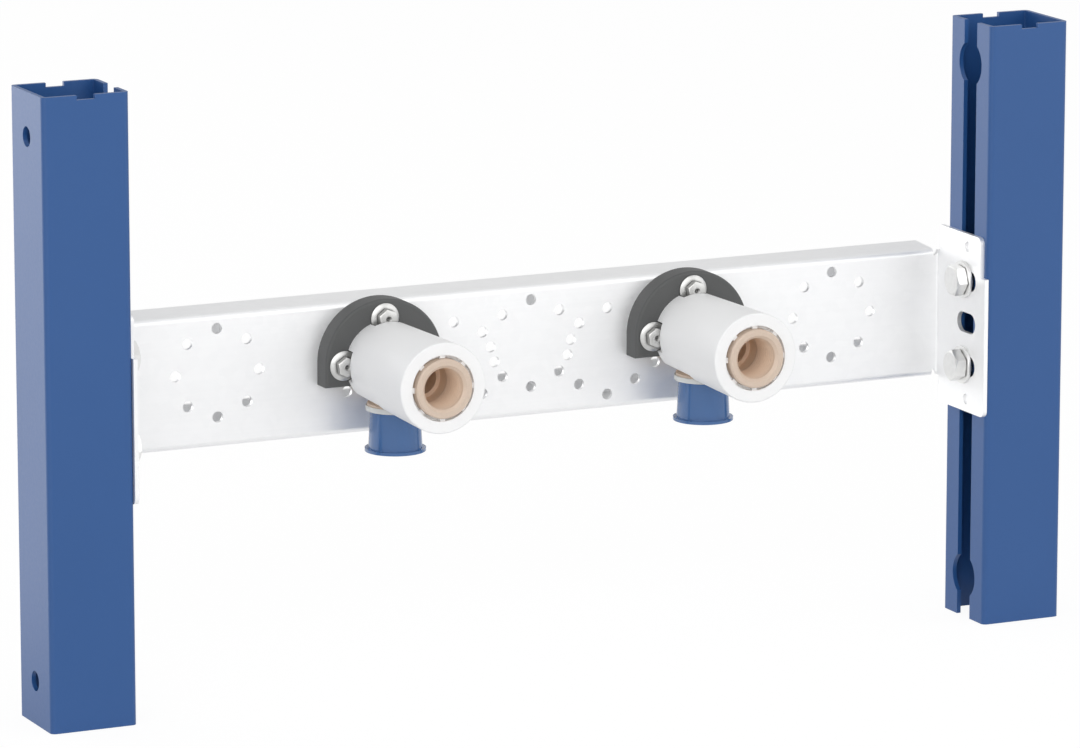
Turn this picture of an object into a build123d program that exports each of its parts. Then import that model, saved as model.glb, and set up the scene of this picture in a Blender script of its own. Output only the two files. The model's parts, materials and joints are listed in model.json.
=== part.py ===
from build123d import *
import os
from math import radians, tan

# Mounting frame for an exposed wall mixer tap, in millimetres.
# X runs to the right, Y towards the wall and Z up. The uprights stand on Z = 0,
# and the origin is under the middle of the frame's width and depth.

# Frame
frame_width = 501.0
upright_height = 280.0

# Uprights: rolled channels whose slot faces inwards
upright_width = 40.0
upright_depth = 38.6
upright_wall = 2.0
upright_inside_bend = 0.4
upright_slot = 12.0
access_diameter = 21.0
web_hole_diameter = 9.0
web_hole_inset = 19.6
top_notch_width = 8.4
top_notch_depth = 2.0

# Mounting plate: one sheet folded into a lipped channel that is open towards the wall
sheet = 2.0
plate_height = 60.0
plate_depth = 25.5
plate_lip = 15.0
plate_inside_bend = 0.6
plate_setback = 5.7
plate_middle_height = 140.0

# End flanges of the plate, bent forward against the uprights
flange_height = 83.4
flange_overhang = 0.6
flange_step_rise = 23.0
flange_step_depth = 4.2
flange_corner = 3.0
flange_back_gap = 1.0
neck_height = 54.0
fold_relief = 2.4
end_splay = 3.2
end_bend = 1.0
flange_slot_length = 17.0
flange_slot_play = 1.4
flange_slot_shift = 2.8
dimple_diameter = 5.0
dimple_depth = 1.0
dimple_rise = 35.8

# Fixing holes of the plate: rings of small holes along two rows
hole_ring_diameter = 40.0
hole_ring_count = 8
fixing_hole_diameter = 5.0
row_rise = 3.5

# Bolts that hold the end flanges, with their washers and channel nuts
bolt_spacing = 40.0
bolt_diameter = 8.0
bolt_length = 20.0
bolt_head_flats = 13.0
bolt_head_height = 5.3
bolt_crown_inset = 0.3
bolt_crown_angle = 30.0
washer_diameter = 17.5
washer_thickness = 1.6
nut_width = 26.0
nut_height = 20.0
nut_thickness = 6.0

# Taps: spacing, reach in front of the uprights, and the insulating base
tap_spacing = 153.0
tap_reach = 30.7
base_radius = 28.5
base_thickness = 10.0
base_drop = 9.7
base_edge = 1.2
base_wall = 2.7

# Elbow: barrel towards the tap, wall flange let into the base, branch pointing down
barrel_diameter = 26.6
nose_chamfer = 0.6
outlet_diameter = 18.6
outlet_depth = 26.0
outlet_mouth = 1.3
waterway_diameter = 15.0
passage_diameter = 10.0
elbow_flange = 4.0
branch_stand_off = 21.0
neck_diameter = 21.0
collar_diameter = 25.0
collar_drop = 15.0
collar_height = 2.0
collar_shoulder = 1.0
spigot_diameter = 14.0

# Sleeve over the barrel
sleeve_back_diameter = 38.0
sleeve_front_diameter = 40.8
sleeve_setback = 2.0
sleeve_edge = 0.8
groove_width = 1.4
groove_depth = 2.8
groove_ribs = 8
groove_rib_width = 2.4

# Ring and pipe socket under the branch
ring_outside = 26.4
ring_thickness = 2.2
socket_top_diameter = 22.4
socket_foot_diameter = 24.2
socket_brim_diameter = 27.4
socket_brim_thickness = 1.4
socket_length = 18.7
pipe_bore = 18.3
socket_floor = 2.0

# Screws that hold the taps to the plate
screw_diameter = 4.6
screw_collar_diameter = 14.0
screw_collar_thickness = 1.2
screw_head_flats = 8.0
screw_head_height = 3.6
screw_dimple_diameter = 4.0
screw_dimple_depth = 0.8
screw_beyond_plate = 5.0
screw_point = 3.0
screw_tip_diameter = 0.5

# Clearances
fit_gap = 0.1
loose_gap = 0.3
sleeve_gap = 0.6

# Places that follow from the sizes above
upright_front = (tap_reach - upright_depth - plate_setback - plate_depth) / 2
upright_middle = upright_front + upright_depth / 2
plate_front = upright_front + upright_depth + plate_setback
flange_back = plate_front - end_bend - flange_back_gap
inner_face = frame_width / 2 - upright_width
plate_end = inner_face - sheet - fold_relief
tap_height = plate_middle_height + row_rise
tap_length = plate_front - upright_front + tap_reach
screw_head = screw_collar_thickness + screw_head_height
sleeve_slot = ring_outside + 2 * sleeve_gap
sleeve_bore = barrel_diameter + 2 * fit_gap
ring_drop = collar_drop + collar_height
socket_drop = ring_drop + ring_thickness
bolt_heights = [plate_middle_height + side * bolt_spacing / 2 for side in (1, -1)]


def tube_cut(diameter, length):
    """A round cutter along X, centred on its own middle."""
    return Rot(0, 90, 0) * Cylinder(diameter / 2, length)


def channel_section(across, deep, wall, inside_bend, mouth):
    """A folded channel seen end on: its closed side on the local X axis, its mouth at deep."""
    middle = Pos(0, deep / 2)
    outside = middle * RectangleRounded(across, deep, inside_bend + wall)
    inside = middle * RectangleRounded(across - 2 * wall, deep - 2 * wall, inside_bend)
    gap = Pos(0, deep - wall / 2) * Rectangle(mouth, 2 * wall)
    return outside - inside - gap


def left_upright():
    """Channel upright with its web outwards and its slot towards the other upright."""
    foot = Plane(origin=(-frame_width / 2, upright_middle, 0), x_dir=(0, -1, 0), z_dir=(0, 0, 1))
    section = channel_section(
        upright_depth, upright_width, upright_wall, upright_inside_bend, upright_slot
    )
    upright = extrude(foot * section, amount=upright_height)
    middle_x = upright_width / 2 - frame_width / 2
    notch = Box(top_notch_width, 2 * upright_depth, 2 * top_notch_depth)
    upright -= Pos(middle_x, upright_middle, upright_height) * notch
    for height in (web_hole_inset, upright_height - web_hole_inset):
        web = Pos(-frame_width / 2, upright_middle, height)
        upright -= web * tube_cut(web_hole_diameter, 4 * upright_wall)
        lips = Pos(-inner_face, upright_middle, height)
        upright -= lips * tube_cut(access_diameter, 4 * upright_wall)
    return upright


def end_bend_and_neck():
    """The strip that leads from the plate's right end round the bend into the end flange."""
    flange_face = inner_face - sheet
    end = flange_back - flange_back_gap
    outline = Polyline(
        (plate_end, plate_front),
        (flange_face, plate_front),
        (flange_face, end),
        (inner_face, end),
        (inner_face, plate_front + sheet),
        (plate_end, plate_front + sheet),
        close=True,
    )
    strip = make_face(outline)
    strip = fillet(strip.vertices().sort_by_distance((flange_face, plate_front))[0], end_bend)
    outer_corner = (inner_face, plate_front + sheet)
    strip = fillet(strip.vertices().sort_by_distance(outer_corner)[0], end_bend + sheet)
    strip = extrude(strip, amount=neck_height / 2 + fold_relief, both=True)
    for side in (1, -1):
        relief = Rot(90, 0, 0) * Cylinder(fold_relief, 2 * plate_depth)
        strip -= Pos(plate_end, plate_front, side * (neck_height / 2 + fold_relief)) * relief
    return Pos(0, 0, plate_middle_height) * strip


def right_flange():
    """End flange with its stepped front edge, three slots and two pressed dimples."""
    front = upright_front - flange_overhang
    low = plate_middle_height - flange_height / 2
    high = plate_middle_height + flange_height / 2
    step = plate_middle_height + flange_step_rise
    outline = Polyline(
        (front, low),
        (flange_back, low),
        (flange_back, high),
        (front + flange_step_depth, high),
        (front + flange_step_depth, step),
        (front, step),
        close=True,
    )
    face = make_face(outline)
    for corner in ((front, low), (front + flange_step_depth, high)):
        face = fillet(face.vertices().sort_by_distance(corner)[0], flange_corner)
    slot_height = bolt_diameter + flange_slot_play
    slot_centre = upright_middle - flange_slot_shift
    for height in bolt_heights + [plate_middle_height]:
        face -= Pos(slot_centre, height) * SlotOverall(flange_slot_length, slot_height)
    side = Plane(origin=(inner_face - sheet, 0, 0), x_dir=(0, 1, 0), z_dir=(1, 0, 0))
    flange = extrude(side * face, amount=sheet)
    dimple_y = upright_middle - upright_slot / 2 + dimple_diameter / 2 + loose_gap
    for rise in (dimple_rise, -dimple_rise):
        place = Pos(inner_face, dimple_y, plate_middle_height + rise)
        flange += place * tube_cut(dimple_diameter, 2 * dimple_depth)
        flange -= Pos(-sheet, 0, 0) * place * tube_cut(dimple_diameter - fit_gap, 2 * dimple_depth)
    return flange


def end_cut():
    """What is cut off the plate's right end, so that its flanges reach further at their back."""
    far = plate_end + 2 * end_splay
    lean = end_splay / plate_depth
    front = plate_front - sheet
    back = plate_front + plate_depth + sheet
    outline = Polyline(
        (plate_end - lean * sheet, front),
        (plate_end + end_splay + lean * sheet, back),
        (far, back),
        (far, front),
        close=True,
    )
    return Pos(0, 0, plate_middle_height) * extrude(make_face(outline), amount=plate_height, both=True)


def mounting_plate():
    """Lipped channel with an end flange at each end and rings of fixing holes in its face."""
    face = Plane(origin=(0, plate_front, plate_middle_height), x_dir=(0, 0, 1), z_dir=(-1, 0, 0))
    mouth = plate_height - 2 * plate_lip
    section = channel_section(plate_height, plate_depth, sheet, plate_inside_bend, mouth)
    plate = extrude(face * section, amount=plate_end + end_splay, both=True)
    plate = plate - end_cut() - mirror(end_cut(), about=Plane.YZ)
    right_end = end_bend_and_neck() + right_flange()
    plate = plate + right_end + mirror(right_end, about=Plane.YZ)
    hole = Circle(fixing_hole_diameter / 2)
    ring = PolarLocations(hole_ring_diameter / 2, hole_ring_count) * hole
    pitch = tap_spacing / 4
    places = [(step * pitch, -row_rise if step % 2 else row_rise) for step in (-4, -2, -1, 0, 1, 2, 4)]
    front = Plane(origin=(0, plate_front, plate_middle_height), x_dir=(1, 0, 0), z_dir=(0, -1, 0))
    for across, up in places:
        plate -= extrude(front * Pos(across, up) * Sketch(children=ring), amount=2 * sheet, both=True)
    return plate


def horseshoe(radius, drop):
    """Half-round top over a straight-sided lower part with a flat bottom edge."""
    half_disc = Circle(radius) - Pos(0, -radius) * Rectangle(2 * radius, 2 * radius)
    return half_disc + Pos(0, -drop / 2) * Rectangle(2 * radius, drop)


def screw_places():
    """Where a tap's screws stand round its axis: top, left and right."""
    reach = hole_ring_diameter / 2
    return {"top": Pos(0, reach), "left": Pos(-reach, 0), "right": Pos(reach, 0)}


def standing(shape, height):
    """Lift a shape along the local Z axis."""
    return Pos(0, 0, height) * shape


def upright_cylinder(radius, height):
    """A cylinder that stands on the local XY plane."""
    return Cylinder(radius, height, align=(Align.CENTER, Align.CENTER, Align.MIN))


def upright_cone(low_radius, high_radius, height):
    """A cone frustum that stands on the local XY plane."""
    return Cone(low_radius, high_radius, height, align=(Align.CENTER, Align.CENTER, Align.MIN))


def insulating_base():
    """Moulded base round the elbow's wall flange, which is let into its back."""
    base = extrude(horseshoe(base_radius, base_drop), amount=base_thickness)
    base = fillet(base.faces().sort_by(Axis.Z)[-1].edges(), base_edge)
    pocket = horseshoe(base_radius - base_wall, base_drop - base_wall)
    base -= extrude(pocket, amount=elbow_flange + fit_gap)
    base -= upright_cylinder(barrel_diameter / 2 + loose_gap, base_thickness)
    for place in screw_places().values():
        base -= place * upright_cylinder(screw_diameter / 2 + loose_gap, base_thickness)
    return base


def downward(drop, shape):
    """Turn a shape that stands on the local XY plane to point down the branch from a drop."""
    return Pos(0, -drop, branch_stand_off) * Rot(90, 0, 0) * shape


def elbow():
    """Gunmetal elbow: wall flange, barrel with the threaded outlet, branch and spigot."""
    inset = base_wall + loose_gap
    body = extrude(horseshoe(base_radius - inset, base_drop - inset), amount=elbow_flange)
    for place in screw_places().values():
        body -= place * upright_cylinder(screw_diameter / 2 + loose_gap, elbow_flange)
    root = min(barrel_diameter, hole_ring_diameter - screw_collar_diameter - 2 * loose_gap) / 2
    root_length = base_thickness + screw_head + sleeve_gap
    body += upright_cylinder(root, root_length)
    barrel = upright_cylinder(barrel_diameter / 2, tap_length - root_length)
    barrel = chamfer(barrel.edges().sort_by(Axis.Z)[-1], nose_chamfer)
    body += standing(barrel, root_length)
    body += downward(0, upright_cylinder(neck_diameter / 2, collar_drop + collar_shoulder))
    body += downward(collar_drop, upright_cone(neck_diameter / 2, collar_diameter / 2, collar_shoulder))
    rim = upright_cylinder(collar_diameter / 2, collar_height - collar_shoulder)
    body += downward(collar_drop + collar_shoulder, rim)
    spigot_length = ring_thickness + socket_floor
    body += downward(ring_drop, upright_cylinder(spigot_diameter / 2, spigot_length))
    outlet_floor = tap_length - outlet_depth
    body -= standing(upright_cylinder(outlet_diameter / 2, outlet_depth), outlet_floor)
    mouth = upright_cone(outlet_diameter / 2, outlet_diameter / 2 + outlet_mouth, outlet_mouth)
    body -= standing(mouth, tap_length - outlet_mouth)
    waterway = upright_cylinder(waterway_diameter / 2, outlet_floor - branch_stand_off)
    body -= standing(waterway, branch_stand_off)
    body -= standing(Sphere(waterway_diameter / 2), branch_stand_off)
    body -= downward(0, upright_cylinder(passage_diameter / 2, ring_drop + spigot_length))
    return body


def sleeve():
    """White sleeve over the barrel: a ribbed groove in front, notches and a slot behind."""
    length = tap_length - sleeve_setback - base_thickness
    shell = upright_cone(sleeve_back_diameter / 2, sleeve_front_diameter / 2, length)
    shell = fillet(shell.edges().sort_by(Axis.Z)[-1], sleeve_edge)
    shell -= upright_cylinder(sleeve_bore / 2, length)
    groove_radius = sleeve_bore / 2 + groove_width
    shell -= standing(upright_cylinder(groove_radius, groove_depth), length - groove_depth)
    band = Circle(groove_radius + fit_gap) - Circle(sleeve_bore / 2)
    bar = Rectangle(4 * groove_width, groove_rib_width)
    bars = PolarLocations(sleeve_bore / 2, groove_ribs) * bar
    ribs = extrude(band & Sketch(children=bars), amount=groove_depth - sleeve_edge)
    shell += standing(ribs, length - groove_depth)
    notch = upright_cylinder(screw_collar_diameter / 2 + loose_gap, screw_head + loose_gap)
    for place in screw_places().values():
        shell -= place * notch
    slot_length = branch_stand_off + ring_outside / 2 + sleeve_gap - base_thickness
    slot = Box(
        sleeve_slot, sleeve_front_diameter, slot_length, align=(Align.CENTER, Align.MAX, Align.MIN)
    )
    return standing(shell - slot, base_thickness)


def spacer_ring():
    """Pale ring between the branch's collar and the pipe socket."""
    ring = upright_cylinder(ring_outside / 2, ring_thickness)
    ring -= upright_cylinder(spigot_diameter / 2 + fit_gap, ring_thickness)
    return downward(ring_drop, ring)


def pipe_socket():
    """Tapered socket for the supply pipe, with a brim round its mouth."""
    taper = socket_length - socket_brim_thickness
    body = upright_cone(socket_top_diameter / 2, socket_foot_diameter / 2, taper)
    body += standing(upright_cylinder(socket_brim_diameter / 2, socket_brim_thickness), taper)
    body -= upright_cylinder(spigot_diameter / 2 + fit_gap, socket_length)
    body -= standing(upright_cylinder(pipe_bore / 2, socket_length - socket_floor), socket_floor)
    return downward(socket_drop, body)


def tap_screw():
    """Hexagon washer-head screw, seated on the base and pointed behind the plate."""
    collar = upright_cylinder(screw_collar_diameter / 2, screw_collar_thickness)
    head = extrude(RegularPolygon(screw_head_flats / 2, 6, major_radius=False), amount=screw_head_height)
    dimple = upright_cylinder(screw_dimple_diameter / 2, screw_dimple_depth)
    head -= standing(dimple, screw_head_height - screw_dimple_depth)
    screw = standing(collar + standing(head, screw_collar_thickness), base_thickness)
    shank = base_thickness + sheet + screw_beyond_plate
    screw += standing(upright_cylinder(screw_diameter / 2, shank), base_thickness - shank)
    point = upright_cone(screw_diameter / 2, screw_tip_diameter / 2, screw_point)
    return screw + standing(Rot(180, 0, 0) * point, base_thickness - shank)


def flange_fastener(shape, height):
    """Turn a piece that stands along the local Z axis towards the right upright's slot."""
    return Pos(inner_face - sheet, upright_middle, height) * Rot(0, 90, 0) * shape


def bolt():
    """Hexagon bolt: its head points away from the upright, its shank into the slot."""
    head = extrude(RegularPolygon(bolt_head_flats / 2, 6, major_radius=False), amount=bolt_head_height)
    crown = bolt_head_flats / 2 - bolt_crown_inset
    spread = bolt_head_height / tan(radians(bolt_crown_angle))
    head = head & upright_cone(crown + spread, crown, bolt_head_height)
    head = standing(Rot(180, 0, 0) * head, -washer_thickness)
    return head + standing(upright_cylinder(bolt_diameter / 2, bolt_length), -washer_thickness)


def washer():
    """Plain washer between the bolt's head and the end flange."""
    disc = upright_cylinder(washer_diameter / 2, washer_thickness)
    disc -= upright_cylinder(bolt_diameter / 2 + fit_gap, washer_thickness)
    return standing(disc, -washer_thickness)


def channel_nut():
    """Flat nut that bears on the lips inside the upright."""
    bearing = Align.CENTER, Align.CENTER, Align.MIN
    nut = Box(nut_height, nut_width, nut_thickness, align=bearing)
    nut -= upright_cylinder(bolt_diameter / 2 + fit_gap, nut_thickness)
    return standing(nut, sheet + upright_wall)


def tap_place(side):
    """Local frame of a tap on the plate's face: X right, Y up and Z towards the user."""
    origin = (side * tap_spacing / 2, plate_front, tap_height)
    return Plane(origin=origin, x_dir=(1, 0, 0), z_dir=(0, -1, 0))


def assembly():
    """Every piece in its place, by name."""
    pieces = {"left_upright": left_upright()}
    pieces["right_upright"] = mirror(pieces["left_upright"], about=Plane.YZ)
    pieces["mounting_plate"] = mounting_plate()
    for level, height in zip(("upper", "lower"), bolt_heights):
        for name, shape in (("bolt", bolt()), ("washer", washer()), ("channel_nut", channel_nut())):
            placed = flange_fastener(shape, height)
            pieces[f"right_{level}_{name}"] = placed
            pieces[f"left_{level}_{name}"] = mirror(placed, about=Plane.YZ)
    tap_pieces = {
        "insulating_base": insulating_base(),
        "elbow": elbow(),
        "sleeve": sleeve(),
        "spacer_ring": spacer_ring(),
        "pipe_socket": pipe_socket(),
    }
    for spot, place in screw_places().items():
        tap_pieces[f"{spot}_screw"] = place * tap_screw()
    for name, side in (("left", -1), ("right", 1)):
        for piece, shape in tap_pieces.items():
            pieces[f"{name}_tap_{piece}"] = tap_place(side) * shape
    return pieces


os.makedirs("parts", exist_ok=True)
for name, shape in assembly().items():
    export_step(shape, f"parts/{name}.step")
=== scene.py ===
# %% [markdown]
# # A mounting frame for an exposed wall mixer
# Two blue channel uprights carry a bright folded plate, and two elbows on the plate wait for
# the tap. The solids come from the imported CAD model, in metres and already in place. This
# lesson dresses them: a finish for each material, finer fasteners, and a white studio.

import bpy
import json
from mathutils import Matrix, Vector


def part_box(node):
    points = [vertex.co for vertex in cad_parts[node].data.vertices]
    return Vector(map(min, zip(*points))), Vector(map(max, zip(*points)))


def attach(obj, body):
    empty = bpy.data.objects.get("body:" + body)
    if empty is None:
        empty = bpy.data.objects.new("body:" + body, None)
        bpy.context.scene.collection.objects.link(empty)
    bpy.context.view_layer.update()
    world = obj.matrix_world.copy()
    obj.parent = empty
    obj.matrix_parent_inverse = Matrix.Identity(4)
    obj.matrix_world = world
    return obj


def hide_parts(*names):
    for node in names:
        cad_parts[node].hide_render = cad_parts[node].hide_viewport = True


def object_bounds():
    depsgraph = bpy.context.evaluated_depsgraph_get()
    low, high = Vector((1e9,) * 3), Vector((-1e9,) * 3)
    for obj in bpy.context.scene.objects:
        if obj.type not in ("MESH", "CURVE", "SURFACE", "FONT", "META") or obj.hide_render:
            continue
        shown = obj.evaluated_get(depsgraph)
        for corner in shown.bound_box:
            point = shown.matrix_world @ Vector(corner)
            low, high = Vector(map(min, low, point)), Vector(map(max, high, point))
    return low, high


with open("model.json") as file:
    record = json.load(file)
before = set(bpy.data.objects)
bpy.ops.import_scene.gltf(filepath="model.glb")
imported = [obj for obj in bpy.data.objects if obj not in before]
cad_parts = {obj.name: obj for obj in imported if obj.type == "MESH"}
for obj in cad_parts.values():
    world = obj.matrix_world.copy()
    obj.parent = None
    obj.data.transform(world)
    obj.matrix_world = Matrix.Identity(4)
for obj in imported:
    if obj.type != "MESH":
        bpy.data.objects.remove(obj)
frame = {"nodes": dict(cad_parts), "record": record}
cad_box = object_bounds()
print("nodes:", len(frame["nodes"]), "box:", cad_box)

# %% [markdown]
# The cells below need the scene's own module, a little trigonometry, vectors and matrices.
# Sizes of small pieces are easier to read in millimetres, so one name turns them into metres.

# %% Modules and the unit
import json
from math import cos, pi, radians, sin, tan

import bpy
from mathutils import Matrix, Vector

MM = 0.001

# %% [markdown]
# ## Shader maths that reads like maths
# A finish is a graph of nodes, and wiring each Math node by hand hides the idea. A small class
# can stand for one socket instead, so that `1 - edge * 0.5` adds the nodes it needs. The other
# way, a long list of links, says the same thing and can't be read.


# %% A socket that can be added and multiplied
class Value:
    """One output socket of a finish; arithmetic on it adds Math nodes."""

    def __init__(self, finish, socket):
        self.finish = finish
        self.socket = socket

    def maths(self, operation, *terms):
        """A Math node that works on these terms."""
        return self.finish.node("ShaderNodeMath", {"operation": operation}, dict(enumerate(terms)))

    def __add__(self, other):
        return self.maths("ADD", self, other)

    def __sub__(self, other):
        return self.maths("SUBTRACT", self, other)

    def __rsub__(self, other):
        return self.maths("SUBTRACT", other, self)

    def __mul__(self, other):
        return self.maths("MULTIPLY", self, other)

    def __pow__(self, other):
        return self.maths("POWER", self, other)

    __radd__ = __add__
    __rmul__ = __mul__

    def clamped(self):
        """The same value, kept between 0 and 1."""
        return self.finish.node("ShaderNodeClamp", {}, {"Value": self})


# %% [markdown]
# A finish owns the material. One method makes any node: its settings go in first, because some
# of them change which sockets exist, and then its sockets get numbers or links. The methods
# after it are the few patterns that the finishes here need: noise, a blend of two colours, a
# mask of worn edges, a mask of inside corners, and a bump. A Mix node has sockets for numbers,
# vectors and colours under the same names, so its colour sockets are picked by their places.


# %% A finish and its nodes
MIX_FACTOR, MIX_LOW, MIX_HIGH, MIXED = 0, 6, 7, 2


class Finish:
    """A procedural material with one Principled shader."""

    def __init__(self, name, constants):
        self.material = bpy.data.materials.new(name)
        self.material.use_nodes = True
        self.tree = self.material.node_tree
        self.shader = self.tree.nodes["Principled BSDF"]
        for socket, number in constants.items():
            self.shader.inputs[socket].default_value = number
        self.place = self.node("ShaderNodeTexCoord", {}, {}, "Object")

    def node(self, kind, settings, sockets, output=0):
        """Any node, its settings before its sockets, as one of its outputs."""
        made = self.tree.nodes.new(kind)
        for setting, choice in settings.items():
            setattr(made, setting, choice)
        for socket, value in sockets.items():
            if isinstance(value, Value):
                self.tree.links.new(value.socket, made.inputs[socket])
            else:
                made.inputs[socket].default_value = value
        return Value(self, made.outputs[output])

    def feed(self, socket, value):
        """Link a value to a socket of the shader."""
        self.tree.links.new(value.socket, self.shader.inputs[socket])

    def stretched(self, along):
        """The surface's own coordinates, scaled along each axis."""
        settings = {"operation": "MULTIPLY"}
        return self.node("ShaderNodeVectorMath", settings, {0: self.place, 1: along})

    def noise(self, per_metre, detail=3.0, place=None):
        """Soft noise between 0 and 1, with so many grains per metre."""
        sockets = {"Vector": place or self.place, "Scale": per_metre, "Detail": detail}
        return self.node("ShaderNodeTexNoise", {}, sockets)

    def blend(self, mask, low, high):
        """The colour low where the mask is 0, and high where it is 1."""
        sockets = {MIX_FACTOR: mask, MIX_LOW: low, MIX_HIGH: high}
        return self.node("ShaderNodeMix", {"data_type": "RGBA"}, sockets, MIXED)

    def edges(self, width, gain):
        """1 on the corners of the piece and 0 on its flats."""
        soft = self.node("ShaderNodeBevel", {"samples": 6}, {"Radius": width})
        flat = self.node("ShaderNodeNewGeometry", {}, {}, "Normal")
        settings = {"operation": "DOT_PRODUCT"}
        same = self.node("ShaderNodeVectorMath", settings, {0: soft, 1: flat}, "Value")
        return ((1 - same) * gain).clamped()

    def creases(self, reach, gain):
        """1 deep in the inside corners of the piece and 0 in the open."""
        settings = {"samples": 8, "only_local": True}
        open_sky = self.node("ShaderNodeAmbientOcclusion", settings, {"Distance": reach}, "AO")
        return ((1 - open_sky) * gain).clamped()

    def bump(self, height, depth, strength):
        """Shallow relief, in which a height of 1 stands for the depth."""
        sockets = {"Height": height, "Distance": depth, "Strength": strength}
        self.feed("Normal", self.node("ShaderNodeBump", {}, sockets))


# %% [markdown]
# ## Powder coat
# The uprights are rolled steel, sprayed with a fine blue powder and baked. Baked powder has a
# shallow orange peel, a satin gloss, and thins a little on the corners, where it looks paler.
# A picture of paint could be wrapped round them, but noise at the right scale has no seams.

# %% Blue powder coat
deep_blue = (0.018, 0.085, 0.266, 1)
clear_blue = (0.023, 0.094, 0.286, 1)
thin_blue = (0.10, 0.18, 0.38, 1)
peel_per_metre = 650.0
clouds_per_metre = 14.0
rubs_per_metre = 160.0

coat = Finish("blue powder coat", {"IOR": 1.5})
peel = coat.noise(peel_per_metre)
colour = coat.blend(coat.noise(clouds_per_metre), deep_blue, clear_blue)
worn = coat.edges(0.5 * MM, gain=2.2) * (0.10 + 0.35 * coat.noise(rubs_per_metre))
coat.feed("Base Color", coat.blend(worn.clamped(), colour, thin_blue))
coat.feed("Roughness", 0.36 + 0.10 * peel)
coat.bump(peel, depth=0.03 * MM, strength=0.5)
print("powder coat:", len(coat.tree.nodes), "nodes")

# %% [markdown]
# ## Bright galvanised sheet
# The plate is rolled zinc-coated steel. Rolling leaves faint lines along the sheet, and the zinc
# freezes in crystals whose tones differ slightly. Stretched noise gives the rolling lines, and
# a texture of uneven cells gives the crystals. Fresh zinc is a dull metal: part of its white is
# scattered light, so the finish is only partly metallic and mirrors its neighbours faintly.

# %% Galvanised sheet
grey_zinc = (0.90, 0.903, 0.91, 1)
white_zinc = (0.95, 0.952, 0.956, 1)
cut_steel = (0.70, 0.70, 0.70, 1)
rolling_per_metre = (9.0, 900.0, 900.0)
crystals_per_metre = 240.0

zinc_sheet = Finish("galvanised sheet", {"Metallic": 0.62, "IOR": 1.5})
rolling = zinc_sheet.noise(1.0, 4.0, zinc_sheet.stretched(rolling_per_metre))
cells = {"Vector": zinc_sheet.place, "Scale": crystals_per_metre}
cell_colour = zinc_sheet.node("ShaderNodeTexVoronoi", {}, cells, "Color")
crystal = zinc_sheet.node("ShaderNodeSeparateColor", {}, {"Color": cell_colour}, "Red")
bright = zinc_sheet.blend((0.65 * rolling + 0.35 * crystal).clamped(), grey_zinc, white_zinc)
cut = zinc_sheet.edges(0.3 * MM, gain=2.0)
zinc_sheet.feed("Base Color", zinc_sheet.blend(cut * 0.5, bright, cut_steel))
zinc_sheet.feed("Roughness", 0.38 + 0.12 * rolling + 0.05 * crystal)
zinc_sheet.bump(rolling, depth=0.008 * MM, strength=0.4)
print("galvanised sheet:", len(zinc_sheet.tree.nodes), "nodes")

# %% [markdown]
# ## Zinc on the fasteners
# Bolts and screws are plated in a drum, so they are smoother than the sheet and more uneven:
# small scuffs, and edges that other screws have rubbed bright. In the inside corners a painted
# shade darkens the zinc, and this dark line round the foot of a hexagon makes it readable.
# The flange bolts take a lighter copy of the zinc, almost white, a painted highlight for the
# white that their faces mirror, so the finish looks at the piece's index: 0 is the plain zinc,
# and 1 is the lighter copy.

# %% Plated fasteners
plain_zinc_dark, plain_zinc_light = (0.44, 0.44, 0.43, 1), (0.70, 0.70, 0.69, 1)
lit_copy_dark, lit_copy_light = (0.74, 0.74, 0.73, 1), (0.90, 0.90, 0.89, 1)
rubbed_zinc = (0.78, 0.78, 0.77, 1)
crease_shade_colour = (0.05, 0.05, 0.05, 1)
scuffs_per_metre = 420.0
LIT_COPY = 1

plated = Finish("plated fastener", {"Metallic": 1.0})
scuff = plated.noise(scuffs_per_metre, 5.0)
rubbed = plated.edges(0.25 * MM, gain=2.5)
# Painted highlight: pieces with index 1 take a lighter copy of the zinc.
lit_copy_index = plated.node("ShaderNodeObjectInfo", {}, {}, "Object Index")
plain_zinc = plated.blend(rubbed * 0.6, plated.blend(scuff, plain_zinc_dark, plain_zinc_light), rubbed_zinc)
lit_zinc_copy = plated.blend(scuff, lit_copy_dark, lit_copy_light)
# Painted shade: the inside corners of each piece are darkened in its colour.
painted_crease_shade = plated.creases(1.4 * MM, gain=2.2)
plated.feed("Base Color", plated.blend(painted_crease_shade, plated.blend(lit_copy_index, plain_zinc, lit_zinc_copy), crease_shade_colour))
plated.feed("Roughness", 0.26 + 0.18 * scuff + 0.2 * painted_crease_shade)
plated.bump(scuff, depth=0.02 * MM, strength=0.4)
print("plated fastener:", len(plated.tree.nodes), "nodes")

# %% [markdown]
# ## Gunmetal
# The elbows are cast gunmetal, turned on the end that faces the tap. Turning leaves fine rings
# round the outlet's axis. Rings need the distance from that axis, so the finish works it out:
# both axes lie at the same height and at the same distance from the middle of the frame. The
# sleeve is round about the axis, so its box gives the axis: half its width below its top.

# %% Distance from the outlet's axis
sleeve_low, sleeve_high = (Vector(corner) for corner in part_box("right_tap_sleeve"))
tap_x = (sleeve_low.x + sleeve_high.x) / 2
tap_z = sleeve_high.z - (sleeve_high.x - sleeve_low.x) / 2

gunmetal = Finish("gunmetal", {"Metallic": 0.12, "IOR": 1.5})
along_x = gunmetal.node("ShaderNodeSeparateXYZ", {}, {"Vector": gunmetal.place}, "X")
along_z = gunmetal.node("ShaderNodeSeparateXYZ", {}, {"Vector": gunmetal.place}, "Z")
sideways = along_x.maths("ABSOLUTE", along_x) - tap_x
from_axis = (sideways ** 2 + (along_z - tap_z) ** 2) ** 0.5
print("tap axis:", round(tap_x, 4), round(tap_z, 4))

# %% [markdown]
# The bore is painted lighter than the outside of the elbow: painted light that stands for the
# light reaching deep into it. The bore could be masked by its radius, but the mask of inside
# corners, given a long reach, finds it wherever it is.

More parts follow.
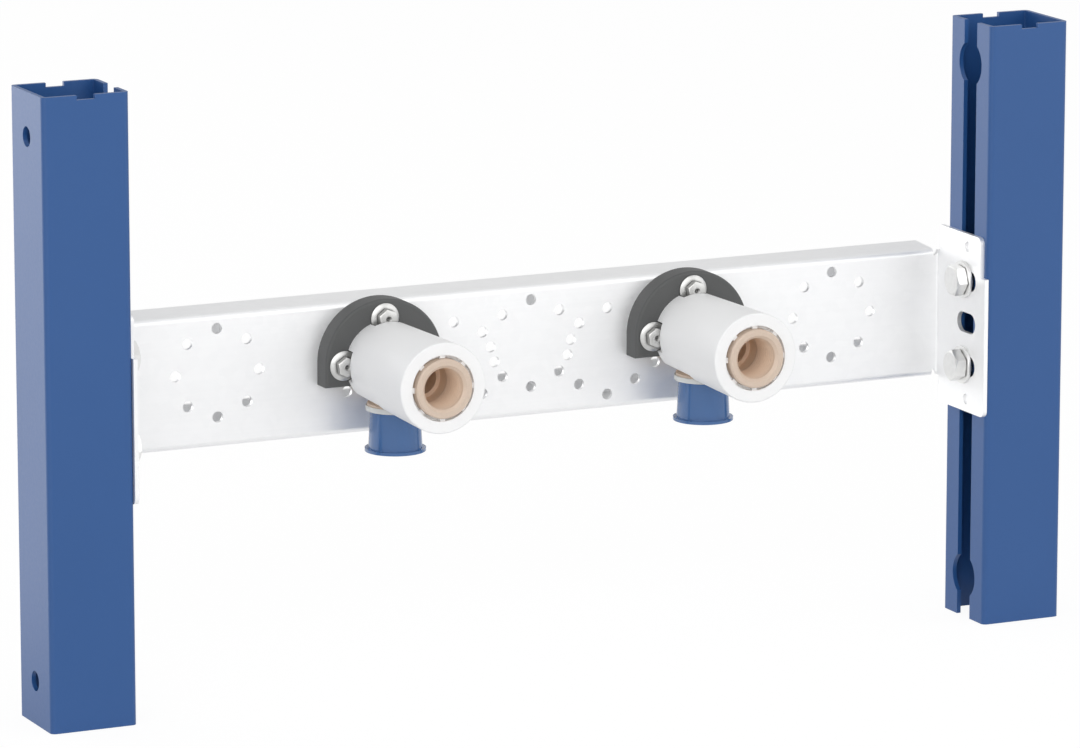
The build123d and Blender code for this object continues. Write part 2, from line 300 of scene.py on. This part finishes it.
# %% Gunmetal, with the bore painted lighter
outside_dark, outside_light = (0.62, 0.49, 0.39, 1), (0.69, 0.56, 0.46, 1)
painted_lit_bore_dark, painted_lit_bore_light = (0.93, 0.74, 0.58, 1), (0.97, 0.80, 0.65, 1)
rim_bronze = (0.82, 0.67, 0.56, 1)
cast_grains_per_metre = 700.0
ring_pitch = 0.35 * MM

turned = from_axis.maths("SINE", from_axis * (2 * pi / ring_pitch))
cast = gunmetal.noise(cast_grains_per_metre, 4.0)
outside = gunmetal.blend(cast, outside_dark, outside_light)
painted_lit_bore = gunmetal.blend(cast, painted_lit_bore_dark, painted_lit_bore_light)
# Painted light: the deep bore, found by the mask of inside corners, takes a lighter colour.
bronze_with_lit_bore = gunmetal.blend(gunmetal.creases(16 * MM, gain=2.2), outside, painted_lit_bore)
rim = gunmetal.edges(0.3 * MM, gain=2.0) * 0.5
gunmetal.feed("Base Color", gunmetal.blend(rim, bronze_with_lit_bore, rim_bronze))
gunmetal.feed("Roughness", 0.40 + 0.14 * cast)
gunmetal.bump(turned * 0.3 + cast, depth=0.02 * MM, strength=0.4)
print("gunmetal:", len(gunmetal.tree.nodes), "nodes")

# %% [markdown]
# ## The moulded pieces
# The dark base, the white sleeve, the pale ring and the blue socket are moulded plastics. They
# differ in colour, gloss and the grain of their moulds, so one function makes all four.


# %% Moulded plastics
plastic_clouds_per_metre = 60.0


def moulded(name, dark, light, roughness, grains_per_metre, depth):
    """A plastic with a little cloudiness, a mould grain and corners that catch the light."""
    plastic = Finish(name, {"IOR": 1.5})
    stipple = plastic.noise(grains_per_metre, 4.0)
    cloudy = plastic.noise(plastic_clouds_per_metre)
    body = plastic.blend((0.7 * cloudy + 0.3 * stipple).clamped(), (*dark, 1), (*light, 1))
    bright = [min(1.0, 1.25 * channel + 0.02) for channel in light]
    corners = plastic.edges(0.4 * MM, gain=1.6) * 0.5
    plastic.feed("Base Color", plastic.blend(corners, body, (*bright, 1)))
    plastic.feed("Roughness", roughness + 0.12 * stipple)
    plastic.bump(stipple, depth, strength=0.5)
    print(name + ":", len(plastic.tree.nodes), "nodes")
    return plastic


insulation = moulded(
    "dark insulation", (0.074, 0.076, 0.076), (0.094, 0.096, 0.096),
    roughness=0.50, grains_per_metre=1400.0, depth=0.06 * MM,
)
white_sleeve = moulded(
    "white sleeve", (0.925, 0.927, 0.93), (0.955, 0.957, 0.96),
    roughness=0.40, grains_per_metre=900.0, depth=0.02 * MM,
)
pale_ring = moulded(
    "pale ring", (0.66, 0.68, 0.67), (0.72, 0.73, 0.72),
    roughness=0.38, grains_per_metre=900.0, depth=0.02 * MM,
)
blue_socket = moulded(
    "blue socket", (0.056, 0.139, 0.328), (0.061, 0.147, 0.345),
    roughness=0.10, grains_per_metre=700.0, depth=0.003 * MM,
)

# %% [markdown]
# ## Finishes onto the solids
# The record names a material slot for every node. A table from slot to finish dresses them all
# in one loop, and no node can be forgotten.

# %% Dress the CAD nodes
finishes = {
    "blue_powder_coat": coat,
    "galvanised_sheet": zinc_sheet,
    "zinc_fastener": plated,
    "gunmetal": gunmetal,
    "dark_insulation": insulation,
    "white_sleeve": white_sleeve,
    "pale_ring": pale_ring,
    "blue_socket": blue_socket,
}
slots = {row["node"]: row["material_slot"] for row in frame["record"]["subparts"]}
for node, slot in slots.items():
    solid = frame["nodes"][node]
    solid.data.materials.clear()
    solid.data.materials.append(finishes[slot].material)
print("dressed", len(slots), "nodes")

# %% [markdown]
# ## Rings and skins
# Bolts, screws, washers and nuts are all nearly round. A general way to make them is a stack of
# rings, each with as many points, joined by quads: a plain ring is a circle, a ring of a hexagon
# head has six corners, and a ring of a thread swells where the thread passes. Cuts in plain
# solids could give these shapes too, but rings keep the mesh closed and even.


# %% Skin over rings
def skin(name, rings, loop=False, smooth=32.0):
    """A closed mesh over rings of points, capped at both ends unless it loops round."""
    around = len(rings[0])
    points = [point for ring in rings for point in ring]
    steps = [(low, low + 1) for low in range(len(rings) - 1)]
    if loop:
        steps.append((len(rings) - 1, 0))
    faces = []
    for low, high in steps:
        for left in range(around):
            right = (left + 1) % around
            corners = (low, left), (low, right), (high, right), (high, left)
            faces.append([ring * around + place for ring, place in corners])
    if not loop:
        last = len(points) - around
        faces.append(list(range(around))[::-1])
        faces.append(list(range(last, len(points))))
    mesh = bpy.data.meshes.new(name)
    mesh.from_pydata(points, [], faces)
    mesh.shade_smooth()
    mesh.set_sharp_from_angle(angle=radians(smooth))
    return mesh


def spokes(count):
    """Angles of the points round a ring."""
    return [2 * pi * step / count for step in range(count)]


def round_ring(radius, height, angles):
    """Points of a circle at one height."""
    return [(radius * cos(turn), radius * sin(turn), height) for turn in angles]


# %% [markdown]
# A hexagon's radius grows from half its width across flats to its corners. A head is topped by a
# flat cone, and where the cone meets the six sides the edge dips towards the corners.


# %% Hexagons
def hexagon_radius(flats, turn):
    """Distance from the middle of a hexagon to its side, in one direction."""
    slice_angle = pi / 3
    return flats / 2 / cos((turn + slice_angle / 2) % slice_angle - slice_angle / 2)


def hexagon_ring(flats, height, angles):
    """Points of a hexagon at one height."""
    ring = []
    for turn in angles:
        radius = hexagon_radius(flats, turn)
        ring.append((radius * cos(turn), radius * sin(turn), height))
    return ring


def crown_ring(flats, crown, top, slope, angles):
    """Where the cone that tops a hexagon head meets the head's six sides."""
    ring = []
    for turn in angles:
        radius = hexagon_radius(flats, turn)
        ring.append((radius * cos(turn), radius * sin(turn), top - (radius - crown) * slope))
    return ring


# %% [markdown]
# A thread is a ridge that climbs one pitch per turn, so at a given height its swell depends on
# the angle. The ridge fades in and out over its first and last turn, as a cut thread does.


# %% Threads
ridge_peak = 1.3
ridge_slope = 3.0


def thread_swell(height, turn, pitch):
    """0 in the root of a thread and 1 on its crest."""
    phase = (height / pitch - turn / (2 * pi)) % 1.0
    ridge = ridge_peak - ridge_slope * abs(phase - 0.5)
    return min(1.0, max(0.0, ridge))


def thread_rings(core, crest, start, end, pitch, angles, steps_per_turn=8):
    """Rings of a thread from one height to another, fading in and out over a turn."""
    count = max(2, round(abs(end - start) / pitch * steps_per_turn))
    rings = []
    for step in range(count + 1):
        height = start + (end - start) * step / count
        fade = min(1.0, step / steps_per_turn, (count - step) / steps_per_turn)
        ring = []
        for turn in angles:
            radius = core + (crest - core) * fade * thread_swell(height, turn, pitch)
            ring.append((radius * cos(turn), radius * sin(turn), height))
        rings.append(ring)
    return rings


# %% [markdown]
# Every new piece is placed, rides on the frame's one body, and takes its finish from a slot of
# the record. A piece that stands for a plain solid also says which one, and the solid is hidden.


# %% Place a piece
def place_piece(name, mesh, origin, axis, spin, slot, node=None):
    """Stand a mesh on a point, its own Z along an axis, in place of a node if one is named."""
    mesh.materials.clear()
    mesh.materials.append(finishes[slot].material)
    piece = bpy.data.objects.new(name, mesh)
    bpy.context.scene.collection.objects.link(piece)
    turn = Vector((0, 0, 1)).rotation_difference(Vector(axis)).to_matrix().to_4x4()
    piece.matrix_world = Matrix.Translation(origin) @ turn @ Matrix.Rotation(spin, 4, "Z")
    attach(piece, "root")
    if node:
        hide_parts(node)
    return piece


# %% [markdown]
# ## Flange bolts
# Four hexagon bolts hold the plate's end flanges to the uprights. The head has a chamfered crown
# and a thin round step under it, and the shank is threaded nearly to the head. The solids give
# the head's height and the shank's length: the washer's faces say where the head begins.

# %% Bolt sizes
bolt_box = [Vector(corner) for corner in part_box("right_upper_bolt")]
washer_box = [Vector(corner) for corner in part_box("right_upper_washer")]
bolt_flats = bolt_box[1].y - bolt_box[0].y
bolt_head = washer_box[0].x - bolt_box[0].x
bolt_shank = bolt_box[1].x - washer_box[0].x
bolt_crown = 0.94 * bolt_flats / 2
crown_slope = tan(radians(30))
dish_radius = 0.55 * bolt_crown
dish_depth = 0.12 * MM
step_radius = 0.96 * bolt_flats / 2
step_height = 0.35 * MM
bolt_radius = 4.0 * MM
bolt_core = 3.35 * MM
bolt_pitch = 1.25 * MM
plain_length = 0.6 * MM
thread_start = 1.0 * MM
point_length = 0.8 * MM
point_radius = bolt_core - 0.4 * MM
print("bolt:", round(bolt_head / MM, 2), "mm head,", round(bolt_shank / MM, 2), "mm shank")

# %% [markdown]
# The rings run from the middle of the head's top, over the crown and down the sides, to the
# shank's point. Heights count from the seat, and the head lies on the negative side.

# %% Bolt mesh
bolt_angles = spokes(48)
bolt_cone = crown_ring(bolt_flats, bolt_crown, bolt_head, crown_slope, bolt_angles)
bolt_rings = [
    round_ring(dish_radius, dish_depth - bolt_head, bolt_angles),
    round_ring(bolt_crown, -bolt_head, bolt_angles),
    [(x, y, -z) for x, y, z in bolt_cone],
    hexagon_ring(bolt_flats, -step_height, bolt_angles),
    round_ring(step_radius, -step_height, bolt_angles),
    round_ring(step_radius, 0, bolt_angles),
    round_ring(bolt_radius, 0, bolt_angles),
    round_ring(bolt_radius, plain_length, bolt_angles),
]
thread_end = bolt_shank - point_length
bolt_rings += thread_rings(
    bolt_core, bolt_radius, thread_start, thread_end, bolt_pitch, bolt_angles
)
bolt_rings.append(round_ring(point_radius, bolt_shank, bolt_angles))
bolt_mesh = skin("flange bolt", bolt_rings)
print("bolt mesh:", len(bolt_mesh.polygons), "faces")

# %% [markdown]
# ## Washers
# A stamped washer has one rounded and one sharper edge; here both are slightly broken. Its
# outline is an octagon of radius and height, turned round the bolt's axis.

# %% Washer mesh
washer_radius = (washer_box[1].y - washer_box[0].y) / 2
washer_thick = washer_box[1].x - washer_box[0].x
hole_radius = bolt_radius + 0.1 * MM
washer_break = 0.3 * MM
washer_angles = spokes(64)
washer_outline = [
    (hole_radius, washer_break),
    (hole_radius + washer_break, 0),
    (washer_radius - washer_break, 0),
    (washer_radius, washer_break),
    (washer_radius, washer_thick - washer_break),
    (washer_radius - washer_break, washer_thick),
    (hole_radius + washer_break, washer_thick),
    (hole_radius, washer_thick - washer_break),
]
washer_rings = [round_ring(radius, -height, washer_angles) for radius, height in washer_outline]
washer_mesh = skin("flange washer", washer_rings[::-1], loop=True)
print("washer mesh:", len(washer_mesh.polygons), "faces")

# %% [markdown]
# ## Channel nuts
# The nut is a flat block that slides in the channel, and its hole carries the bolt's thread. Its
# outline is a rectangle, so the angles of its rings also take in the four corners.

# %% Nut outline
nut_box = [Vector(corner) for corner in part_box("right_upper_channel_nut")]
nut_size = nut_box[1] - nut_box[0]
nearly_nothing = 1e-9
nut_corner = Vector((nut_size.y, nut_size.z)).angle_signed(Vector((1, 0)))
nut_corners = [nut_corner, pi - nut_corner, pi + nut_corner, -nut_corner]
nut_angles = sorted(spokes(64) + [corner % (2 * pi) for corner in nut_corners])


def block_ring(inset, height):
    """A rectangle of the nut's outline, drawn in by an inset."""
    half_y = nut_size.y / 2 - inset
    half_z = nut_size.z / 2 - inset
    ring = []
    for turn in nut_angles:
        reach_y = half_y / max(abs(cos(turn)), nearly_nothing)
        reach_z = half_z / max(abs(sin(turn)), nearly_nothing)
        reach = min(reach_y, reach_z)
        ring.append((reach * cos(turn), reach * sin(turn), height))
    return ring


print("nut:", [round(side / MM, 1) for side in nut_size], "mm")

# %% [markdown]
# From its bearing face the block goes out to its broken edges, round its back, and into the
# countersunk hole, where the thread runs back to the bearing face and closes the loop.

# %% Nut mesh
nut_break = 0.7 * MM
nut_sink = 0.5 * MM
nut_thread = 0.3 * MM
sink_radius = hole_radius + nut_sink
nut_rings = [
    block_ring(nut_break, 0),
    block_ring(0, nut_break),
    block_ring(0, nut_size.x - nut_break),
    block_ring(nut_break, nut_size.x),
    round_ring(sink_radius, nut_size.x, nut_angles),
]
nut_rings += thread_rings(
    hole_radius + nut_thread, hole_radius, nut_size.x - nut_sink, nut_sink, bolt_pitch, nut_angles
)
nut_rings.append(round_ring(sink_radius, 0, nut_angles))
nut_mesh = skin("channel nut", nut_rings, loop=True)
print("nut mesh:", len(nut_mesh.polygons), "faces")

# %% [markdown]
# The bolts point outwards into the uprights' slots. Each hexagon stops at its own angle, as
# tightened bolts do.

# %% Set the flange fasteners
bolt_spin = {"left_upper": 0.3, "left_lower": 0.9, "right_upper": 0.12, "right_lower": 0.62}
for spot, spin in bolt_spin.items():
    outward = -1 if spot.startswith("left") else 1
    axis = (outward, 0, 0)
    low, high = (Vector(corner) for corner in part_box(spot + "_washer"))
    seat = Vector((low.x if outward > 0 else high.x, (low.y + high.y) / 2, (low.z + high.z) / 2))
    far = seat + Vector(axis) * washer_thick
    low, high = (Vector(corner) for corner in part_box(spot + "_channel_nut"))
    bearing = Vector((low.x if outward > 0 else high.x, seat.y, seat.z))
    fasteners = [
        ("_hex_bolt", bolt_mesh, seat, spin, "_bolt"),
        ("_flat_washer", washer_mesh, far, 0.0, "_washer"),
        ("_nut_block", nut_mesh, bearing, pi / 2, "_channel_nut"),
    ]
    for kind, mesh, origin, turn, node in fasteners:
        piece = place_piece(spot + kind, mesh, origin, axis, turn, "zinc_fastener", spot + node)
        # The flange fasteners take the lighter zinc copy, a painted highlight.
        piece.pass_index = LIT_COPY
print("set", 3 * len(bolt_spin), "flange fasteners")

# %% [markdown]
# ## Tap screws
# Six hexagon screws hold the elbows' bases to the plate. Each head is pressed with its own
# washer, which is slightly coned, and the heading punch leaves a dimple in the middle of the
# hexagon. The thread is a coarse one for sheet metal, and the point is drawn out. The boxes of
# the solids give the head, the washer's width and the length behind the seat, which is the
# front of the base.

# %% Screw sizes
screw_low, screw_high = (Vector(corner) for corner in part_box("left_tap_top_screw"))
seat_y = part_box("left_tap_insulating_base")[0][1]
screw_head = seat_y - screw_low.y
screw_shank = screw_high.y - seat_y
screw_flats = 8.0 * MM
screw_crown = 3.75 * MM
dimple_radius = 1.3 * MM
dimple_floor = 0.3 * dimple_radius
dimple_mouth = 1.1 * dimple_radius
dimple_depth = 1.1 * MM
dimple_lip = 0.15 * MM
collar_radius = 0.96 * (screw_high.x - screw_low.x) / 2
collar_rounded = 0.97 * collar_radius
collar_edge = 0.7 * MM
collar_upper = 0.75 * collar_edge
collar_lower = 0.25 * collar_edge
collar_top = 1.3 * MM
screw_core = 1.75 * MM
screw_crest = 2.3 * MM
screw_pitch = 1.8 * MM
screw_start = -0.3 * MM
screw_point = 3.0 * MM
tip_radius = 0.2 * MM
print("screw:", round(screw_head / MM, 2), "mm head,", round(screw_shank / MM, 2), "mm shank")

# %% [markdown]
# The rings start in the dimple and end at the point. Heights count from the seat towards the
# user, so the shank lies on the negative side.

# %% Screw mesh
screw_angles = spokes(48)
screw_rings = [
    round_ring(dimple_floor, screw_head - dimple_depth, screw_angles),
    round_ring(dimple_radius, screw_head - dimple_lip, screw_angles),
    round_ring(dimple_mouth, screw_head, screw_angles),
    round_ring(screw_crown, screw_head, screw_angles),
    crown_ring(screw_flats, screw_crown, screw_head, crown_slope, screw_angles),
    hexagon_ring(screw_flats, collar_top, screw_angles),
    round_ring(collar_rounded, collar_edge, screw_angles),
    round_ring(collar_radius, collar_upper, screw_angles),
    round_ring(collar_radius, collar_lower, screw_angles),
    round_ring(collar_rounded, 0, screw_angles),
    round_ring(screw_crest, 0, screw_angles),
]
screw_end = screw_point - screw_shank
screw_rings += thread_rings(
    screw_core, screw_crest, screw_start, screw_end, screw_pitch, screw_angles
)
screw_rings.append(round_ring(tip_radius, -screw_shank, screw_angles))
screw_mesh = skin("tap screw", screw_rings[::-1])
print("screw mesh:", len(screw_mesh.polygons), "faces")

# %% [markdown]
# The screws point into the wall, so their heads face the user. All of them have a flat nearly
# upright in the photograph, and stop a few degrees apart.

# %% Set the tap screws
screw_spin = {"top": 0.14, "left": 0.09, "right": 0.17}
for side in ("left", "right"):
    for spot, spin in screw_spin.items():
        tap_spot = side + "_tap_" + spot
        node = tap_spot + "_screw"
        low, high = (Vector(corner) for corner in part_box(node))
        seat = Vector(((low.x + high.x) / 2, seat_y, (low.z + high.z) / 2))
        name = tap_spot + "_hex_screw"
        place_piece(name, screw_mesh, seat, (0, -1, 0), spin, "zinc_fastener", node)
print("set", 2 * len(screw_spin), "tap screws")

# %% [markdown]
# ## Outlet threads
# The tap's connectors screw into the elbows, so each outlet has a pipe thread. The solid's bore
# is plain, and the thread is a thin lining in it: a tube whose inside swells along a helix. The
# record gives the outlet's radius and length, so the lining can't miss the bore.

# %% Thread lining
mounts = {row["name"]: row for row in frame["record"]["mounts"]}
outlets = {name: row for name, row in mounts.items() if name.endswith("tap_outlet")}
outlet_size = outlets["left_tap_outlet"]["dims"]
outlet_radius = outlet_size["r_mm"] * MM
threaded_share = 0.75
thread_length = threaded_share * outlet_size["length_mm"] * MM
crest_radius = outlet_radius - 0.35 * MM
buried_radius = outlet_radius + 0.15 * MM
pipe_pitch = 1.814 * MM
lining_angles = spokes(96)
lining_rings = thread_rings(
    outlet_radius, crest_radius, 0, thread_length, pipe_pitch, lining_angles
)
lining_rings.append(round_ring(buried_radius, thread_length, lining_angles))
lining_rings.append(round_ring(buried_radius, 0, lining_angles))
lining_mesh = skin("outlet thread", lining_rings[::-1], loop=True)
print("outlet:", round(2 * outlet_radius / MM, 1), "mm,", len(lining_mesh.polygons), "faces")

# %% [markdown]
# The lining stands for no solid of its own: it rides on the frame and shares the elbow's finish.
# The middle of the stated bore and half its length give the point where the thread begins.

# %% Line the outlets
for name, row in outlets.items():
    into_wall = -Vector(row["axis"])
    begin = Vector(row["pos_m"]) - into_wall * (row["dims"]["length_mm"] * MM / 2)
    place_piece(name.replace("outlet", "thread"), lining_mesh, begin, into_wall, 0.0, "gunmetal")
print("lined", len(outlets), "outlets")

# %% [markdown]
# ## The studio
# The photograph is a cut-out on white. A floor and a world that look white to the camera, but
# light the part only gently, give that white without bleaching the colours. Metal also needs
# something to mirror, so mirrored rays see a white floor and a world that is duller behind.
# A Light Path node tells these rays apart.


# %% Rays and surrounds
class Surround(Finish):
    """The node tree of the floor or the world, which has no Principled shader."""

    def __init__(self, tree):
        self.tree = tree

    def ray(self, kind):
        """1 for one kind of ray, and 0 for all the others."""
        return self.node("ShaderNodeLightPath", {}, {}, "Is " + kind + " Ray")

    def show(self, shader, output):
        """Make a shader the one that the tree gives out."""
        self.tree.links.new(shader.socket, self.tree.nodes[output].inputs["Surface"])


# %% [markdown]
# The floor is one large square just under the feet. Real paper would be lit by the lamps and
# turn grey towards the edges; most of this one shines white for the rays that look at it, and
# a tenth of it stays real paper, so the part still has a soft shadow.

# %% Floor
floor_half = 4.5
floor_drop = 0.3 * MM
floor_corners = [(-1, -1), (1, -1), (1, 1), (-1, 1)]
floor_points = [(x * floor_half, y * floor_half, -floor_drop) for x, y in floor_corners]
floor_mesh = bpy.data.meshes.new("studio floor")
floor_mesh.from_pydata(floor_points, [], [(0, 1, 2, 3)])
floor = bpy.data.objects.new("studio_floor", floor_mesh)
bpy.context.scene.collection.objects.link(floor)
print("floor:", 2 * floor_half, "m square")

# %% [markdown]
# Behind the part on the left, mirrored rays meet a brighter pool on the floor, like paper under
# a lamp. It gives the outer side of the left upright the pale sheen of the photograph.

# %% Floor finish
paper_grey = (0.8, 0.8, 0.8, 1)
paper_white = (1.04, 1.04, 1.04, 1)
pool_white = (1.8, 1.8, 1.8, 1)
pool_side = -0.15
fade_to_back = 4
fade_to_left = 6
floor_share = 0.9

floor_material = bpy.data.materials.new("studio floor")
floor_material.use_nodes = True
floor_mesh.materials.append(floor_material)
ground = Surround(floor_material.node_tree)
spot_on_floor = ground.node("ShaderNodeTexCoord", {}, {}, "Object")
across = ground.node("ShaderNodeSeparateXYZ", {}, {"Vector": spot_on_floor}, "X")
beyond = ground.node("ShaderNodeSeparateXYZ", {}, {"Vector": spot_on_floor}, "Y")
deep = (fade_to_back * beyond).clamped()
leftward = (fade_to_left * (pool_side - across)).clamped()
pool = deep * leftward * ground.ray("Glossy")
white = ground.blend(pool, paper_white, pool_white)
glow = ground.node("ShaderNodeEmission", {}, {"Color": white})
paper = ground.node("ShaderNodeBsdfDiffuse", {}, {"Color": paper_grey})
looked_at = ground.ray("Camera") + ground.ray("Glossy") + ground.ray("Transmission")
shares = {0: looked_at.clamped() * floor_share, 1: paper, 2: glow}
ground.show(ground.node("ShaderNodeMixShader", {}, shares), "Material Output")
print("floor finish:", len(ground.tree.nodes), "nodes")

# %% [markdown]
# The world is the rest of the studio. Its direction towards the wall, Y, makes mirrored light
# duller behind the part than in front of it, so the plate's top looks greyer than its face.

# %% World
fill_light = 0.57
mirrored_front = 1.0
mirrored_back = 0.74

world = bpy.data.worlds.new("studio")
bpy.context.scene.world = world
world.use_nodes = True
sky = Surround(world.node_tree)
direction = sky.node("ShaderNodeTexCoord", {}, {}, "Generated")
towards_wall = sky.node("ShaderNodeSeparateXYZ", {}, {"Vector": direction}, "Y")
behind = (0.5 + 0.5 * towards_wall).clamped()
mirrored = mirrored_front + (mirrored_back - mirrored_front) * behind
seen = (sky.ray("Camera") + sky.ray("Transmission")).clamped()
level = fill_light + (1 - fill_light) * seen + (mirrored - fill_light) * sky.ray("Glossy")
shade = sky.blend(level, (0, 0, 0, 1), (1, 1, 1, 1))
sky.show(sky.node("ShaderNodeBackground", {}, {"Color": shade}), "World Output")
print("world fill:", fill_light, "mirrored:", mirrored_front, "to", mirrored_back)

# %% [markdown]
# ## Lights
# Large soft boxes keep the shadows wide: a key above the camera, a box on the left and a weaker
# one on the right, and a low strip behind on the left that gleams along the uprights' sides.


# %% Soft boxes
def soft_box(name, place, target, width, height, watts):
    """A rectangular lamp that faces a target."""
    lamp = bpy.data.lights.new(name, "AREA")
    lamp.shape = "RECTANGLE"
    lamp.size = width
    lamp.size_y = height
    lamp.energy = watts
    box = bpy.data.objects.new(name, lamp)
    bpy.context.scene.collection.objects.link(box)
    box.location = place
    box.rotation_euler = (Vector(place) - Vector(target)).to_track_quat("Z", "Y").to_euler()
    print(name + ":", watts, "W")


middle = Vector((0.0, 0.0, (cad_box[0][2] + cad_box[1][2]) / 2))
soft_box("key box", (-0.6, -2.1, 1.5), middle, width=2.4, height=1.8, watts=13.0)
soft_box("left box", (-1.6, -1.8, 0.85), middle, width=2.4, height=1.6, watts=13.0)
soft_box("right box", (1.6, -1.4, 0.85), middle, width=2.4, height=1.6, watts=10.0)
soft_box("rim box", (-1.3, 1.9, 0.45), middle, width=1.6, height=0.9, watts=14.0)

# %% [markdown]
# ## Camera
# The camera was fitted to the corners of the uprights: it looks down on the frame a little and
# from the left, from far away through a long lens, so that parallel edges stay almost parallel.
# Its distance counts from the plate's face, which is where the bases' backs are.

# %% Camera
azimuth = radians(-25.19)
elevation = radians(11.88)
plate_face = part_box("left_tap_insulating_base")[1][1]
camera_side = -1.23949
camera_distance = 2.64481
camera_height = 0.74370
camera_place = Vector((camera_side, plate_face - camera_distance, camera_height))
back = Vector((sin(azimuth) * cos(elevation), -cos(azimuth) * cos(elevation), sin(elevation)))
right = Vector((cos(azimuth), sin(azimuth), 0))
facing = Matrix((right, back.cross(right), back)).transposed().to_4x4()
lens = bpy.data.cameras.new("photo camera")
lens.lens = 220.18
lens.sensor_width = 36.0
lens.sensor_fit = "HORIZONTAL"
lens.clip_end = 50.0
camera = bpy.data.objects.new("photo_camera", lens)
bpy.context.scene.collection.objects.link(camera)
camera.matrix_world = Matrix.Translation(camera_place) @ facing
bpy.context.scene.camera = camera
bpy.context.scene.view_settings.view_transform = "Standard"
print("camera:", [round(place, 3) for place in camera_place])
